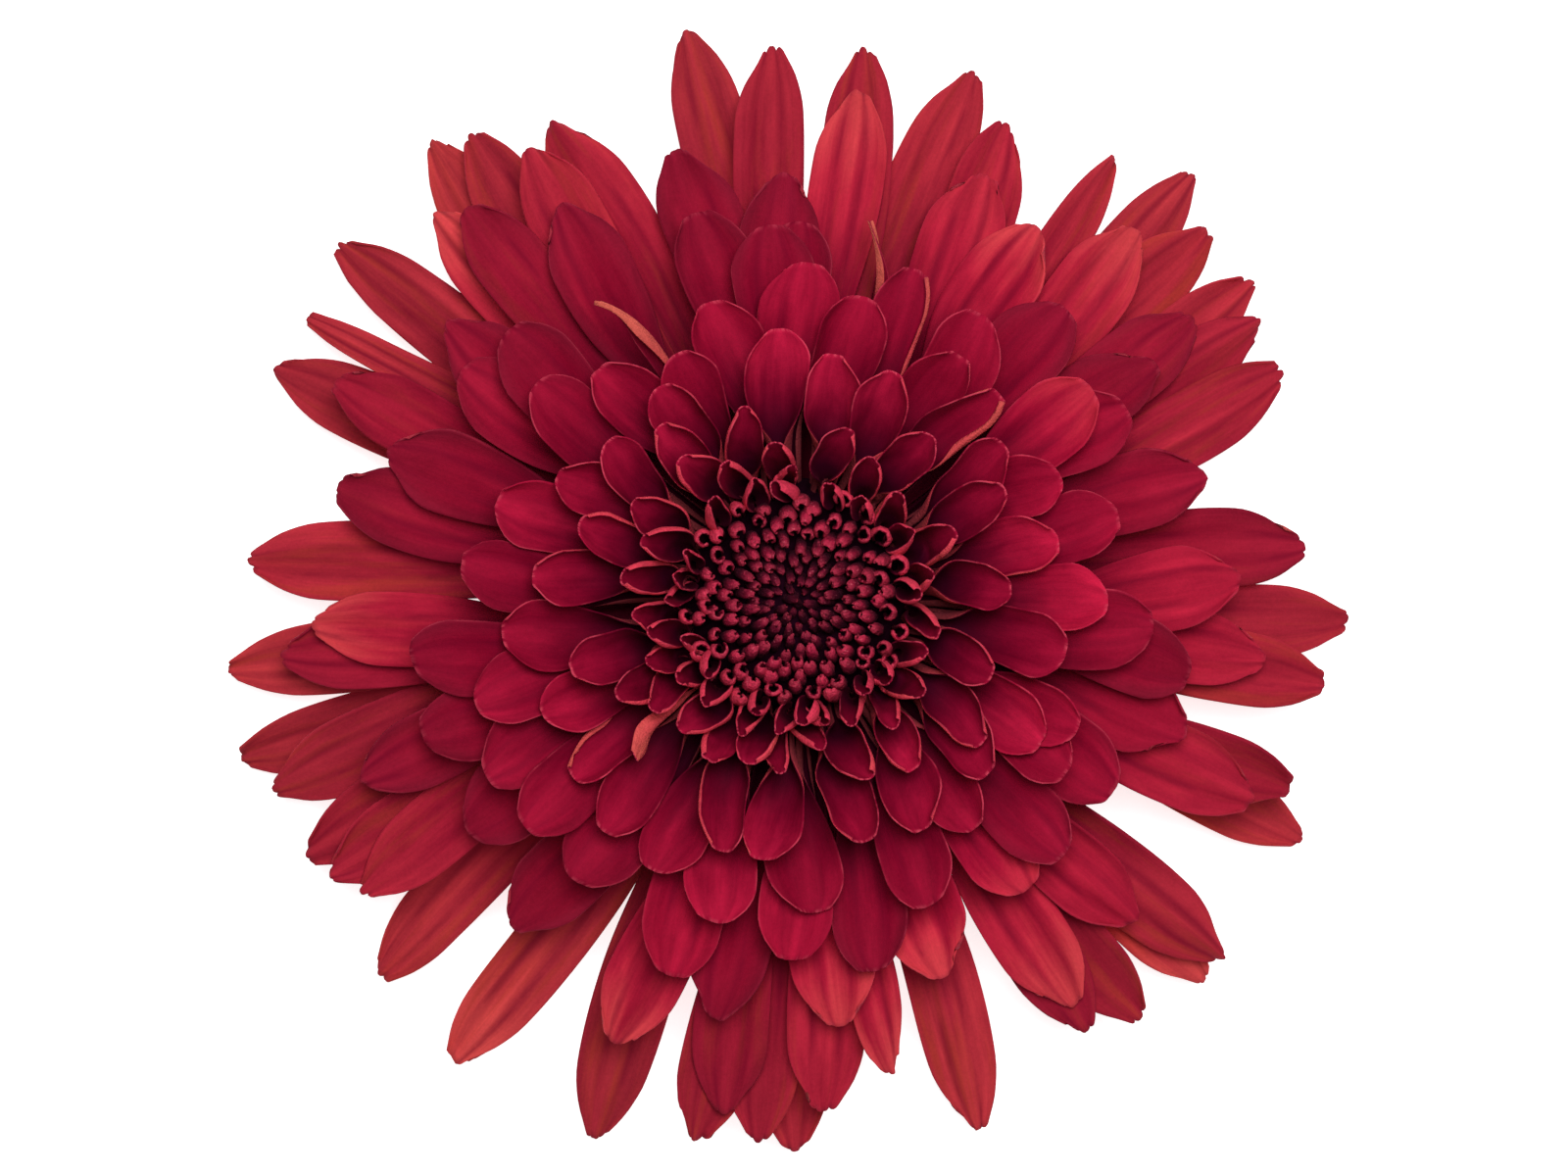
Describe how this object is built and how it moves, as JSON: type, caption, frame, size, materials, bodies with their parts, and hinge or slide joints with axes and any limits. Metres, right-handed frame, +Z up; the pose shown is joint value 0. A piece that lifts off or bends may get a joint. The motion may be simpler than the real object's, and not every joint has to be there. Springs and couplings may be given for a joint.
{
  "type": "chrysanthemum bloom",
  "caption": "Fully double red chrysanthemum bloom, picked with a short stub of stalk, lying face up: layered strap-shaped rays round a dark eye of rolled young florets.",
  "frame": {"origin": "on the surface that the bloom lies on, below the middle of its outline as seen from above; the flower's own axis is vertical and stands 0.9 mm from it", "axes": "+Z up, along the flower's axis and out of its face; +Y towards the top of the picture; +X towards its right"},
  "size_m": [0.0801, 0.0803, 0.0217],
  "materials": {
    "stalk_green": "matte green plant skin with fine ribs",
    "scarlet_petal": "matte velvety petal with long shallow furrows",
    "crimson_petal": "matte velvety petal with a paler rim",
    "dark_floret": "matte velvety petal, tightly rolled"
  },
  "bodies": {
    "root": {"stalk": "stalk_green", "outer_rays": "scarlet_petal", "inner_rays": "crimson_petal", "young_florets": "dark_floret"}
  },
  "joints": []
}
